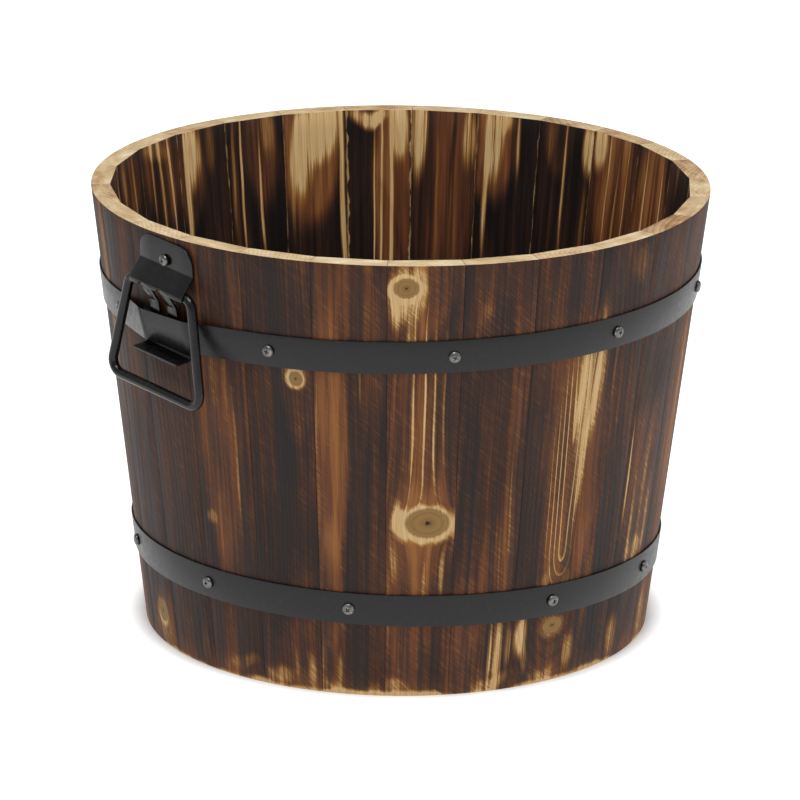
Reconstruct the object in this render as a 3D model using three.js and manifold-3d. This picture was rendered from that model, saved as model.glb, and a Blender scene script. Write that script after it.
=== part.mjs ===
// Wooden barrel planter: tapered staves held by two steel strap hoops, boards let into a croze groove for
// the base, and a drop handle on each side that hangs in a stamped bracket.
// Millimetres, +Z up. The origin is on the floor under the middle of the barrel. The handles are on -X and +X.
// An azimuth is in degrees round the barrel's axis, 0 at the front (-Y) and 90 at the right (+X).
import * as THREE from "three";
import { mergeVertices } from "three/addons/utils/BufferGeometryUtils.js";
import Module from "manifold-3d";

const wasm = await Module();
wasm.setup();

// Barrel wall
const barrelHeight = 278;
const rimRadius = 190; // outside, at the top
const footRadius = 157; // outside, at the floor
const wallThickness = 13;
const staveCount = 26;
const facetsPerStave = 3; // the outside is turned round, the inside is left flat
const firstSeam = -44.8; // azimuth of the joint before the first stave
const staveGap = 0.3; // glue line between two staves

// Base
const crozeHeight = 20; // floor to the groove
const crozeDepth = 4;
const boardThickness = 11;
const boardCount = 3;
const boardFit = 0.3; // above, below and between the boards
const boardEdgeFit = 0.6; // round the boards, in the groove
const drainDiameter = 14;

// Hoops: height is the middle of the strap, rise is how much its high side is above that
const upperHoopDrop = 57.4; // rim to the strap's middle
const strapWidth = 20.5;
const strapThickness = 1;
const strapFit = 0.3;
const strapScrewLead = 6; // a screw to where the strap lifts off the wall
const strapBend = 0.006; // half of the strap's bend over a leaf's corner, in radians of the barrel
const lapLength = 30; // the strap's two ends overlap here, under a screw
const upperHoop = {
  height: barrelHeight - upperHoopDrop,
  rise: 3,
  highSide: 50,
  screws: [-108.6, -67.2, -32.4, 2, 36.2, 71, 111, 145, 180, 215],
  lapScrew: 145,
};
const lowerHoop = {
  height: 53.7,
  rise: 4.5,
  highSide: -86,
  screws: [-118.8, -86, -52.5, -7.8, 24.6, 60, 96, 132, 168, 204],
  lapScrew: 132,
};

// Pan-head wood screws
const screwHeadRadius = 3.7;
const screwHeadHeight = 2.3;
const screwShankRadius = 1.75;
const screwLength = 12; // under the head
const screwPointLength = 4;
const screwFit = 0.3;

// Handle bracket: a stamped plate with an ear, a knuckle over the ring's bar, and two fingers down to a leaf
const plateThickness = 1.5;
const plateFit = 0.3;
const earHalfWidth = 24;
const earAboveBar = 29.2;
const earCornerRadius = 11;
const earScrewAboveBar = 16.9;
const creaseAboveBar = 12.3; // where the plate leaves the wall
const lipAngle = -28; // where the knuckle ends, in degrees above the level of the bar
const fingerAngle = -35; // where a finger leaves the knuckle's curve
const fingerWidth = 8.5;
const fingerSpacing = 16.4;
const notchRadius = 2.2; // a relief notch in the knuckle's end, beside each finger
const notchBeside = 1.4; // a finger's edge to the middle of its notch
const leafHalfWidth = 20;
const leafStandOff = 3.4; // wall to the back of the leaf, at its top
const leafLean = 0.12; // how much closer to the wall the leaf comes for each step down
const leafAboveHoop = 5.9; // the strap's middle to the leaf's top
const leafStrapFit = 0.6; // leaf to the hoop that holds it
const leafCornerRadius = 1.5;
const flareBelowStrap = 5.4; // the leaf's end is turned out as a shelf, so that it can't slip out of the hoop
const flareDrop = 1;
const flareReach = 11.5;

// Handle ring: a bent wire, its ends butted in the lower bar
const wireRadius = 3;
const barAboveHoop = 25.5; // the strap's middle to the bar
const barStandOff = 6.05; // wall to the bar's centre line
const barFit = 0.6; // bar to the inside of the knuckle
const ringTopHalf = 28; // to where the legs' and bars' centre lines meet
const ringBottomHalf = 42;
const ringDrop = 64.5;
const ringTopBend = 7;
const ringBottomBend = 8;
const buttPlace = 21.5; // along the lower bar from its middle
const buttGap = 0.3;

// Each handle's side, and the angle at which its bracket was screwed on
const handles = [
  { side: "left", azimuth: -90, tilt: 4.4 },
  { side: "right", azimuth: 90, tilt: 0 },
];

const roundFacets = staveCount * facetsPerStave;
const slope = (rimRadius - footRadius) / barrelHeight;
const taper = Math.atan(slope);
const up = new THREE.Vector3(0, 0, 1);
const radians = THREE.MathUtils.degToRad;
const degrees = THREE.MathUtils.radToDeg;
const barHeight = upperHoop.height + barAboveHoop;
const wallRadius = (z) => footRadius + slope * z;
const direction = (azimuth) => new THREE.Vector3(Math.sin(radians(azimuth)), -Math.cos(radians(azimuth)), 0);

// ---- Solids ----

// A closed geometry with shared vertices and no collapsed triangles, ready to be cut or shown.
function closed(geometry) {
  geometry.deleteAttribute("normal");
  geometry.deleteAttribute("uv");
  const merged = mergeVertices(geometry);
  const corners = merged.index.array;
  const kept = [];
  for (let i = 0; i < corners.length; i += 3) {
    const [a, b, c] = corners.slice(i, i + 3);
    if (a !== b && b !== c && c !== a) kept.push(a, b, c);
  }
  merged.setIndex(kept);
  return merged;
}

function toSolid(geometry) {
  const tidy = closed(geometry);
  return new wasm.Manifold(
    new wasm.Mesh({
      numProp: 3,
      vertProperties: new Float32Array(tidy.attributes.position.array),
      triVerts: new Uint32Array(tidy.index.array),
    }),
  );
}

function toGeometry(solid) {
  const mesh = solid.getMesh();
  const geometry = new THREE.BufferGeometry();
  geometry.setAttribute("position", new THREE.BufferAttribute(mesh.vertProperties, 3));
  geometry.setIndex(new THREE.BufferAttribute(mesh.triVerts, 1));
  return geometry;
}

function piece(name, geometry, finish) {
  geometry.computeVertexNormals();
  const mesh = new THREE.Mesh(geometry, new THREE.MeshStandardMaterial({ ...finish, flatShading: true }));
  mesh.name = name;
  return mesh;
}

const paintedSteel = { color: "#2b2b2c", roughness: 0.42, metalness: 0.3 };
const screwSteel = { color: "#4c4c4b", roughness: 0.35, metalness: 0.8 };
const baseWood = { color: "#4a3020", roughness: 0.85, metalness: 0 };
const staveTones = ["#35251a", "#4b3020", "#3d2a1c", "#2e211a", "#553722"];

// ---- Staves ----

// A tapered plug on the barrel's axis, lying inset inside the wall's outer face. Flat sides keep the inset
// at their middle, round ones at their corners.
function plug(inset, sides, from, to, flatSided) {
  const stretch = flatSided ? 1 / Math.cos(Math.PI / sides) : 1;
  const radius = (z) => (wallRadius(z) - inset) * stretch;
  const geometry = new THREE.CylinderGeometry(radius(to), radius(from), to - from, sides);
  geometry.rotateX(Math.PI / 2);
  geometry.rotateZ(radians(firstSeam));
  geometry.translate(0, 0, (from + to) / 2);
  return toSolid(geometry);
}

// The space of one stave: a wedge whose sides lie half a glue line inside the two joints.
function staveSpace(index) {
  const half = 180 / staveCount;
  const middle = firstSeam + (2 * index + 1) * half;
  const reach = 2 * rimRadius;
  const apex = direction(middle).multiplyScalar(staveGap / 2 / Math.sin(radians(half)));
  const corner = (azimuth) => apex.clone().addScaledVector(direction(azimuth), reach);
  const outline = [apex, corner(middle - half), corner(middle + half)];
  const geometry = new THREE.ExtrudeGeometry(new THREE.Shape(outline.map((p) => new THREE.Vector2(p.x, p.y))), {
    depth: barrelHeight,
    bevelEnabled: false,
  });
  return toSolid(geometry);
}

const grooveTop = crozeHeight + boardThickness + 2 * boardFit;

function barrelShell() {
  const outside = plug(0, roundFacets, 0, barrelHeight, false);
  const inside = plug(wallThickness, staveCount, -1, barrelHeight + 1, true);
  const groove = plug(wallThickness - crozeDepth, roundFacets, crozeHeight, grooveTop, false);
  return outside.subtract(inside).subtract(groove);
}

function makeStaves(screwPlaces) {
  const shell = barrelShell();
  const span = 360 / staveCount;
  return Array.from({ length: staveCount }, (_, index) => {
    let stave = shell.intersect(staveSpace(index));
    const middle = firstSeam + (index + 0.5) * span;
    for (const place of screwPlaces) {
      const off = ((place.azimuth - middle + 540) % 360) - 180;
      if (Math.abs(off) < span) stave = stave.subtract(toSolid(drill().applyMatrix4(place.matrix)));
    }
    const tone = staveTones[(index * 3) % staveTones.length];
    const name = `stave_${String(index + 1).padStart(2, "0")}`;
    return piece(name, toGeometry(stave), { color: tone, roughness: 0.8, metalness: 0 });
  });
}

// ---- Base ----

function makeBase() {
  const radius = wallRadius(crozeHeight) - wallThickness + crozeDepth - boardEdgeFit;
  const level = crozeHeight + boardFit + boardThickness / 2;
  const disc = new THREE.CylinderGeometry(radius, radius, boardThickness, roundFacets);
  disc.rotateX(Math.PI / 2);
  disc.translate(0, 0, level);
  const drain = new THREE.CylinderGeometry(drainDiameter / 2, drainDiameter / 2, 2 * boardThickness, 20);
  drain.rotateX(Math.PI / 2);
  drain.translate(0, 0, level);
  const base = toSolid(disc).subtract(toSolid(drain));
  const pitch = (2 * radius) / boardCount;
  return Array.from({ length: boardCount }, (_, index) => {
    const strip = new THREE.BoxGeometry(3 * radius, pitch - boardFit, 2 * boardThickness);
    strip.translate(0, (index - (boardCount - 1) / 2) * pitch, level);
    return piece(`base_board_${index + 1}`, toGeometry(base.intersect(toSolid(strip))), baseWood);
  });
}

// ---- Screws ----

// A screw along its own Z, its head's seat at 0. Heads are a shallow dome on a short rim.
function screwGeometry() {
  const profile = [
    [0, -screwLength],
    [screwShankRadius, -screwLength + screwPointLength],
    [screwShankRadius, 0],
    [screwHeadRadius, 0],
    [screwHeadRadius, screwHeadHeight * 0.35],
    [screwHeadRadius * 0.85, screwHeadHeight * 0.75],
    [screwHeadRadius * 0.5, screwHeadHeight],
    [0, screwHeadHeight],
  ].map(([radius, height]) => new THREE.Vector2(radius, height));
  return new THREE.LatheGeometry(profile, 12).rotateX(Math.PI / 2);
}

// The hole for a screw, clear of its shank and a little deeper than its point.
function drill() {
  const depth = screwLength + 0.8;
  const above = 3;
  const radius = screwShankRadius + screwFit;
  const geometry = new THREE.CylinderGeometry(radius, radius, depth + above, 10);
  return geometry.rotateX(Math.PI / 2).translate(0, 0, (above - depth) / 2);
}

// Stands a thing on the wall's outer face, its own Z square to the wall, lifted off by standOff.
function onWall(azimuth, z, standOff) {
  const outward = direction(azimuth).multiplyScalar(Math.cos(taper)).addScaledVector(up, -Math.sin(taper));
  const across = up.clone().cross(direction(azimuth));
  const place = direction(azimuth).multiplyScalar(wallRadius(z)).addScaledVector(up, z);
  return new THREE.Matrix4()
    .makeBasis(across, outward.clone().cross(across), outward)
    .setPosition(place.addScaledVector(outward, standOff));
}

function makeScrew(name, place) {
  const screw = piece(name, closed(screwGeometry()), screwSteel);
  place.matrix.decompose(screw.position, screw.quaternion, screw.scale);
  return screw;
}

// ---- Hoops ----

const lapLift = strapThickness + strapFit;
const hoopMiddle = (hoop, azimuth) => hoop.height + hoop.rise * Math.cos(radians(azimuth - hoop.highSide));

function hoopScrewPlaces(hoop) {
  return hoop.screws.map((azimuth) => {
    const lifted = azimuth === hoop.lapScrew ? lapLift : 0;
    const standOff = strapFit + strapThickness + lifted + screwFit;
    return { azimuth, matrix: onWall(azimuth, hoopMiddle(hoop, azimuth), standOff) };
  });
}

// The wall to the back of the leaf at a height, and the leaf's outer face as a distance from the barrel's axis.
const leafTop = upperHoop.height + leafAboveHoop;
const leafGap = (z) => leafStandOff - leafLean * (leafTop - z);
const leafFace = (z) => wallRadius(z) + leafGap(z) + plateThickness / Math.cos(taper);

// The azimuth of a leaf's middle: below the bar, a tilted bracket swings it sideways.
function leafAzimuth(handle, z) {
  const sideways = (barHeight - z) * Math.sin(radians(handle.tilt));
  return handle.azimuth - degrees(Math.atan2(sideways, leafFace(z)));
}

// How far one azimuth is round from another, in degrees from -180 to 180.
const turnFrom = (start, azimuth) => THREE.MathUtils.euclideanModulo(azimuth - start + 180, 360) - 180;

// The strap over a leaf, from its middle out to one side: flat as far as the leaf's corner, then straight to
// where it lands on the wall, which is short of the next screw.
function strapOverLeaf(hoop, handle, z, side) {
  const middle = leafAzimuth(handle, z);
  const wall = wallRadius(z) + strapFit;
  const face = leafFace(z) + leafStrapFit;
  const corner = Math.atan2(leafHalfWidth, face);
  const cornerRadius = Math.hypot(leafHalfWidth, face);
  const tangent = corner + Math.acos(wall / cornerRadius);
  const screws = hoop.screws.map((azimuth) => side * turnFrom(middle, azimuth)).filter((off) => off > 0);
  const beforeScrew = radians(Math.min(...screws)) - strapScrewLead / wall;
  return { middle, wall, face, corner, cornerRadius, landing: Math.min(tangent, beforeScrew) };
}

// The strap's inner face at an azimuth: on the wall, or pulled over a leaf.
function strapRadius(hoop, azimuth, z, leaves) {
  for (const handle of leaves) {
    const turn = turnFrom(leafAzimuth(handle, z), azimuth);
    const span = strapOverLeaf(hoop, handle, z, Math.sign(turn) || 1);
    const off = Math.abs(radians(turn));
    if (off < span.corner) return span.face / Math.cos(off);
    if (off < span.landing) {
      const inverse =
        Math.sin(span.landing - off) / span.cornerRadius + Math.sin(off - span.corner) / span.wall;
      return Math.sin(span.landing - span.corner) / inverse;
    }
  }
  return wallRadius(z) + strapFit;
}

function makeHoop(name, hoop, leaves) {
  const lapHalf = degrees(lapLength / 2 / wallRadius(hoop.height));
  const start = hoop.lapScrew - lapHalf;
  const end = hoop.lapScrew + lapHalf + 360;
  const step = 3.5;
  const stations = [];
  for (let i = 0; i < Math.round((end - start) / step); i++) {
    stations.push(start + (i * (end - start)) / Math.round((end - start) / step));
  }
  stations.push(end);
  for (const [handle, side] of leaves.flatMap((leaf) => [[leaf, -1], [leaf, 1]])) {
    const { middle, corner, landing } = strapOverLeaf(hoop, handle, hoop.height, side);
    for (const off of [corner - strapBend, corner + strapBend, landing]) {
      const azimuth = middle + side * degrees(off);
      stations.push(azimuth < start ? azimuth + 360 : azimuth);
    }
  }
  stations.sort((a, b) => a - b);

  const lapRamp = 12;
  const halfWidth = (strapWidth / 2) * Math.cos(taper);
  const sections = stations.map((azimuth) => {
    const lift = lapLift * THREE.MathUtils.smoothstep(azimuth, start + 360 - lapRamp, start + 360 - 1);
    const corner = (z, out) => {
      const radius = strapRadius(hoop, azimuth, z, leaves) + lift + out;
      return direction(azimuth).multiplyScalar(radius).addScaledVector(up, z);
    };
    const middle = hoopMiddle(hoop, azimuth);
    const bottom = middle - halfWidth;
    const top = middle + halfWidth;
    return [corner(bottom, 0), corner(bottom, strapThickness), corner(top, strapThickness), corner(top, 0)];
  });
  let strap = toSolid(loft(sections));
  for (const place of hoopScrewPlaces(hoop)) strap = strap.subtract(toSolid(drill().applyMatrix4(place.matrix)));
  return piece(name, toGeometry(strap), paintedSteel);
}

// A solid through a row of sections with the same number of corners, closed at both ends. Looking along the
// row, each section's corners run anticlockwise.
function loft(sections) {
  const count = sections[0].length;
  const index = [];
  for (let i = 0; i < sections.length - 1; i++) {
    for (let j = 0; j < count; j++) {
      const [a, b] = [i * count + j, i * count + ((j + 1) % count)];
      index.push(a, b + count, b, a, a + count, b + count);
    }
  }
  const last = (sections.length - 1) * count;
  for (let j = 1; j < count - 1; j++) {
    index.push(0, j, j + 1);
    index.push(last, last + j + 1, last + j);
  }
  const geometry = new THREE.BufferGeometry().setFromPoints(sections.flat());
  geometry.setIndex(index);
  return geometry;
}

// ---- Handle bracket ----
// It is drawn in its handle's own frame: X away from the barrel's axis, Y across the plate, Z up.

const earTop = barHeight + earAboveBar;
const flareTop = upperHoop.height - strapWidth / 2 - flareBelowStrap;
const barRadius = wallRadius(barHeight) + barStandOff;
const knuckleRadius = wireRadius + barFit + plateThickness / 2; // of the plate's middle

// The plate's middle line seen from the side, from the ear's top to the leaf's end. It is straight on the
// wall, runs from the crease to touch the knuckle's curve, and leaves that curve as a finger.
function plateLine() {
  const onPlate = (z, gap) => new THREE.Vector2(wallRadius(z) + (gap + plateThickness / 2) / Math.cos(taper), z);
  const bar = new THREE.Vector2(barRadius, barHeight);
  const crease = onPlate(barHeight + creaseAboveBar, plateFit);
  const toBar = bar.clone().sub(crease);
  const rampAngle = toBar.angle() + Math.asin(knuckleRadius / toBar.length());
  const touch = rampAngle - 1.5 * Math.PI;
  const lip = radians(lipAngle);
  const leaving = radians(fingerAngle);
  const onCurve = (angle) =>
    bar.clone().add(new THREE.Vector2(Math.cos(angle), Math.sin(angle)).multiplyScalar(knuckleRadius));
  const curve = (from, to, count) =>
    Array.from({ length: count }, (_, i) => onCurve(from + ((to - from) * (i + 1)) / count));

  // the finger runs straight on from the curve until it meets the leaf's line
  const fingerStart = onCurve(leaving);
  const heading = new THREE.Vector2(Math.sin(leaving), -Math.cos(leaving));
  const onLeaf = (z) => onPlate(z, leafGap(z));
  const leafSlope = slope + leafLean / Math.cos(taper);
  const offLeaf = fingerStart.x - onLeaf(fingerStart.y).x;
  const fingerEnd = fingerStart.clone().addScaledVector(heading, offLeaf / (leafSlope * heading.y - heading.x));

  const tip = onLeaf(flareTop).add(new THREE.Vector2(flareReach, -flareDrop));
  const knuckle = [onPlate(earTop + 1, plateFit), crease, onCurve(touch), ...curve(touch, lip, 4)];
  const finger = [...curve(lip, leaving, 2), fingerEnd, onLeaf(leafTop)];
  const leaf = [onLeaf(flareTop), tip];
  return { line: [...knuckle, ...finger, ...leaf], lip: knuckle.length - 1, leaf: knuckle.length + 3 };
}

// Both faces of the plate beside its middle line, mitred where it bends.
function plateFaces(line) {
  const normalAfter = (i) => {
    const along = line[i + 1].clone().sub(line[i]).normalize();
    return new THREE.Vector2(-along.y, along.x);
  };
  const offsets = line.map((_, i) => {
    const before = normalAfter(Math.max(i - 1, 0));
    const after = normalAfter(Math.min(i, line.length - 2));
    const mitre = before.clone().add(after).normalize();
    return mitre.multiplyScalar(plateThickness / 2 / mitre.dot(after));
  });
  return [line.map((p, i) => p.clone().add(offsets[i])), line.map((p, i) => p.clone().sub(offsets[i]))];
}

// Part of the plate between two points of its line, as wide as given, about a line across at centre.
function plateBand(faces, from, to, width, centre) {
  const [outer, inner] = faces.map((face) => face.slice(from, to + 1));
  const shape = new THREE.Shape([...outer, ...inner.reverse()]);
  const geometry = new THREE.ExtrudeGeometry(shape, { depth: width, bevelEnabled: false });
  geometry.rotateX(Math.PI / 2);
  geometry.translate(0, centre + width / 2, 0);
  return toSolid(geometry);
}

// The plate's outline seen from the front, with round corners at its top or bottom, as a block to trim it by.
function frontOutline(halfWidth, from, to, topRadius, bottomRadius) {
  const shape = new THREE.Shape();
  shape.absarc(halfWidth - topRadius, to - topRadius, topRadius, 0, Math.PI / 2);
  shape.absarc(topRadius - halfWidth, to - topRadius, topRadius, Math.PI / 2, Math.PI);
  shape.absarc(bottomRadius - halfWidth, from + bottomRadius, bottomRadius, Math.PI, 1.5 * Math.PI);
  shape.absarc(halfWidth - bottomRadius, from + bottomRadius, bottomRadius, 1.5 * Math.PI, 2 * Math.PI);
  const geometry = new THREE.ExtrudeGeometry(shape, { depth: 2 * barRadius, bevelEnabled: false, curveSegments: 5 });
  const toFront = new THREE.Matrix4().makeBasis(
    new THREE.Vector3(0, 1, 0),
    new THREE.Vector3(0, 0, 1),
    new THREE.Vector3(1, 0, 0),
  );
  return toSolid(geometry.applyMatrix4(toFront));
}

// A round notch through the end of the knuckle, at a place across it.
function notch(across, lipPlace) {
  const depth = 4 * plateThickness;
  const geometry = new THREE.CylinderGeometry(notchRadius, notchRadius, depth, 12);
  return toSolid(geometry.rotateZ(Math.PI / 2).translate(lipPlace.x, across, lipPlace.y));
}

// The ear's screw in the handle's own frame, where the wall faces +X.
const earScrewPlace = { matrix: onWall(90, barHeight + earScrewAboveBar, plateFit + plateThickness + screwFit) };

function makeBracket(side) {
  const { line, lip, leaf } = plateLine();
  const faces = plateFaces(line);
  const small = 0.5;
  const knuckle = plateBand(faces, 0, lip, 2 * earHalfWidth, 0);
  const earOutline = frontOutline(earHalfWidth, barHeight - 20, earTop, earCornerRadius, small);
  const leafSheet = plateBand(faces, leaf, line.length - 1, 2 * leafHalfWidth, 0);
  const leafOutline = frontOutline(leafHalfWidth, flareTop - 20, leafTop + 2, leafCornerRadius, small);
  let plate = knuckle.intersect(earOutline).add(leafSheet.intersect(leafOutline));
  for (const centre of [-fingerSpacing / 2, fingerSpacing / 2]) {
    plate = plate.add(plateBand(faces, lip - 1, leaf + 1, fingerWidth, centre));
    plate = plate.subtract(notch(centre - fingerWidth / 2 - notchBeside, line[lip]));
  }
  plate = plate.subtract(toSolid(drill().applyMatrix4(earScrewPlace.matrix)));
  return piece(`${side}_bracket`, toGeometry(plate), paintedSteel);
}

// ---- Handle ring ----

// A path along straight lines whose corners are rounded, from the first point to the last.
function bentPath(points, bends) {
  const path = new THREE.Path();
  path.moveTo(points[0].x, points[0].y);
  for (let i = 1; i < points.length - 1; i++) {
    const back = points[i - 1].clone().sub(points[i]).normalize();
    const on = points[i + 1].clone().sub(points[i]).normalize();
    const half = Math.acos(back.dot(on)) / 2;
    const start = points[i].clone().addScaledVector(back, bends[i - 1] / Math.tan(half));
    const end = points[i].clone().addScaledVector(on, bends[i - 1] / Math.tan(half));
    const centre = points[i].clone().addScaledVector(back.clone().add(on).normalize(), bends[i - 1] / Math.sin(half));
    const clockwise = back.cross(on) > 0;
    path.lineTo(start.x, start.y);
    path.absarc(centre.x, centre.y, bends[i - 1], start.sub(centre).angle(), end.sub(centre).angle(), clockwise);
  }
  path.lineTo(points.at(-1).x, points.at(-1).y);
  return path;
}

function makeRing(side) {
  const bottom = barHeight - ringDrop;
  const corners = [
    [buttPlace + buttGap / 2, bottom],
    [ringBottomHalf, bottom],
    [ringTopHalf, barHeight],
    [-ringTopHalf, barHeight],
    [-ringBottomHalf, bottom],
    [buttPlace - buttGap / 2, bottom],
  ].map(([y, z]) => new THREE.Vector2(y, z));
  const bends = [ringBottomBend, ringTopBend, ringTopBend, ringBottomBend];
  const steps = 84;
  const line = bentPath(corners, bends).getSpacedPoints(steps);
  const curve = new THREE.CatmullRomCurve3(line.map((p) => new THREE.Vector3(barRadius, p.x, p.y)));
  const section = new THREE.Shape().absarc(0, 0, wireRadius, 0, 2 * Math.PI);
  const wire = new THREE.ExtrudeGeometry(section, { steps, extrudePath: curve, curveSegments: 4 });
  return piece(`${side}_ring`, closed(wire), paintedSteel);
}

// ---- Assembly ----

const planter = new THREE.Group();
planter.name = "barrel_planter";

const screwPlaces = { upper: hoopScrewPlaces(upperHoop), lower: hoopScrewPlaces(lowerHoop), ear: [] };
for (const handle of handles) {
  const group = new THREE.Group();
  group.name = `${handle.side}_handle`;
  const tilted = new THREE.Group();
  tilted.position.z = barHeight;
  tilted.rotation.x = -radians(handle.tilt);
  group.rotation.z = radians(handle.azimuth - 90);
  group.add(tilted);
  const drawn = new THREE.Group();
  drawn.position.z = -barHeight;
  drawn.add(makeBracket(handle.side), makeRing(handle.side));
  drawn.add(makeScrew(`${handle.side}_bracket_screw`, earScrewPlace));
  tilted.add(drawn);
  planter.add(group);
  planter.updateMatrixWorld(true);
  const matrix = drawn.matrixWorld.clone().multiply(earScrewPlace.matrix);
  screwPlaces.ear.push({ azimuth: handle.azimuth, matrix });
}

planter.add(...makeStaves(Object.values(screwPlaces).flat()));
planter.add(...makeBase());
planter.add(makeHoop("upper_hoop", upperHoop, handles));
planter.add(makeHoop("lower_hoop", lowerHoop, []));
for (const level of ["upper", "lower"]) {
  screwPlaces[level].forEach((place, i) => planter.add(makeScrew(`${level}_hoop_screw_${i + 1}`, place)));
}

export default planter;
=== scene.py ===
# Wooden barrel planter: charred staves, black strap hoops and a drop handle on each side.
# Metres, Z up. An azimuth is in degrees round the barrel's axis, 0 at the front (-Y) and 90 at +X.
import bpy
import bmesh
import math
import random
from mathutils import Matrix, Quaternion, Vector, noise


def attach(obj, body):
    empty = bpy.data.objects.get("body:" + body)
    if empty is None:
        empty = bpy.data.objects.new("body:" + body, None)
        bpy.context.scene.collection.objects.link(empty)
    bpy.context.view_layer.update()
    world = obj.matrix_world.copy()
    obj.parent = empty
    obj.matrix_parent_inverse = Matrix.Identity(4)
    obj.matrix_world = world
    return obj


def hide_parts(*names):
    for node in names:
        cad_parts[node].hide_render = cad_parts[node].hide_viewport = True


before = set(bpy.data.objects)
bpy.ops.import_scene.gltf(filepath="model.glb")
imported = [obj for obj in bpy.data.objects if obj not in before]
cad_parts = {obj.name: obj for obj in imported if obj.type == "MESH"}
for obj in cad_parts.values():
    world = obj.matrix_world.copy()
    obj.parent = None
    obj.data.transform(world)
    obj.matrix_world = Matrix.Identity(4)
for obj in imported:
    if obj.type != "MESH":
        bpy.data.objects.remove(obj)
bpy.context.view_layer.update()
scene = bpy.context.scene
print("frame loaded:", len(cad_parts), "nodes")

barrel = {
    "height": 0.278,
    "rimRadius": 0.190,  # outside, at the top
    "footRadius": 0.157,  # outside, at the floor
    "wall": 0.013,
    "staves": 26,
    "firstSeam": -44.8,  # azimuth of the joint before the first stave
}


def wallRadius(z):
    return barrel["footRadius"] + (barrel["rimRadius"] - barrel["footRadius"]) * z / barrel["height"]


def compass(azimuth):
    angle = math.radians(azimuth)
    return Vector((math.sin(angle), -math.cos(angle), 0))


def linear(hexColour):
    channels = [int(hexColour[i:i + 2], 16) / 255 for i in (1, 3, 5)]
    return tuple(c / 12.92 if c <= 0.04045 else ((c + 0.055) / 1.055) ** 2.4 for c in channels) + (1,)


def newObject(name, data):
    item = bpy.data.objects.new(name, data)
    scene.collection.objects.link(item)
    return item


def meshFrom(bm, name):
    mesh = bpy.data.meshes.new(name)
    bm.to_mesh(mesh)
    bm.free()
    return mesh


def bevel(bm, geom, offset, affect="EDGES", segments=2):
    bmesh.ops.bevel(bm, geom=geom, offset=offset, affect=affect, segments=segments, profile=0.5, material=-1)


# fills a node's inputs with sockets, nodes (their first output) or plain values
def fillInputs(node, values):
    for name, value in values.items():
        if isinstance(value, bpy.types.Node):
            value = value.outputs[0]
        if isinstance(value, bpy.types.NodeSocket):
            node.id_data.links.new(value, node.inputs[name])
        else:
            node.inputs[name].default_value = value


# adds a node; the stops are a colour ramp's places, each with a hex colour or a grey
def addNode(tree, kind, inputs=None, stops=(), **settings):
    node = tree.nodes.new("ShaderNode" + kind)
    for name, value in settings.items():
        setattr(node, name, value)
    if stops:
        marks = [(place, linear(tone) if isinstance(tone, str) else (tone, tone, tone, 1)) for place, tone in stops]
        elements = node.color_ramp.elements
        elements[0].position, elements[0].color = marks[0]
        elements[1].position, elements[1].color = marks[-1]
        for place, colour in marks[1:-1]:
            elements.new(place).color = colour
    fillInputs(node, inputs or {})
    return node


def newMaterial(name):
    material = bpy.data.materials.new(name)
    material.use_nodes = True
    tree = material.node_tree
    tree.nodes.clear()
    surface = addNode(tree, "BsdfPrincipled")
    addNode(tree, "OutputMaterial", {"Surface": surface})
    return material, tree, surface


# the last step of every material; height stands out of the surface by up to a depth in metres
def finish(surface, colour, roughness, height, depth, specular=0.5):
    bump = addNode(surface.id_data, "Bump", {"Height": height, "Strength": 0.6, "Distance": depth})
    fillInputs(surface, {"Base Color": colour, "Roughness": roughness, "Normal": bump,
                         "Specular IOR Level": specular})


# a start with parts added to it, each times its weight
def addUp(tree, start, parts, kind="Math"):
    total = start
    for part, weight in parts:
        total = addNode(tree, kind, {0: part, 1: weight, 2: total}, operation="MULTIPLY_ADD")
    return total


# ---- wood ----

# flame-charred fir, wire-brushed and sealed: dark brown with the early wood burnt away, and paler where the
# flame passed quickly. A noise is millimetres across, through and along the board, and then its detail.
firGrain = {
    "wander": (45, 50, 170, 2),  # how the whole grain drifts sideways
    "fibre": (0.75, 0.8, 45, 3),
    "streak": (4.5, 9, 170, 3),
    "patch": (24, 30, 105, 1),
    "scratch": (0.7, 4, 10, 2),  # wire-brush marks, coarser than real so that they show
    "scratchAngle": 47,
    "bead": (60, 60, 11, 3),  # dried glue in the joints inside
    "blotch": (17, 8, 40, 2),  # on the end grain
    "pore": (0.5, 0.5, 40, 2),
    "drift": (0.007, 0, 0),  # metres, for the noise called wander
    "torn": (0.003, 0, 0.05),  # metres that a pale zone's edge is torn by it
    "ringWaver": 0.006,
    "endWaver": 0.004,
    "knotPush": 2500,  # a higher number parts the grain less round a knot
    "relief": 0.0004,
}
firFoot = {
    "lighter": 0.15,  # the flame was quicker near the foot: nothing at "from", and all of it at "downTo"
    "from": 0.016,
    "downTo": 0.001,
    "rubScale": 26,
    "wornLow": -0.0026,  # the edge is worn to bare wood, up to a height between these two
    "wornHigh": 0.0014,
    "frayed": 0.0022,
    "fadeLow": -0.0012,  # and fades out from there
    "fadeHigh": 0.0026,
}
firColours = {
    "char": [(0.26, "#120b09"), (0.40, "#2a1913"), (0.53, "#46291b"), (0.68, "#734326"), (0.86, "#a46c3a")],
    "pale": [(0.06, "#74431d"), (0.28, "#aa7233"), (0.50, "#d4a260"), (0.74, "#f0cf98")],
    "knot": [(0.0, "#1d100a"), (0.09, "#3b2414"), (0.15, "#8d6a3c"), (0.55, "#a5804a"), (0.72, "#93703f"),
             (0.86, "#a98249"), (1.0, "#7c5a33")],
    "glue": "#bd9a66",
    "end": [(0.0, "#7a4f2e"), (0.26, "#ad8254"), (0.50, "#d0b082"), (0.75, "#e5cc9f"), (1.0, "#f8eac9")],
}


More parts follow.
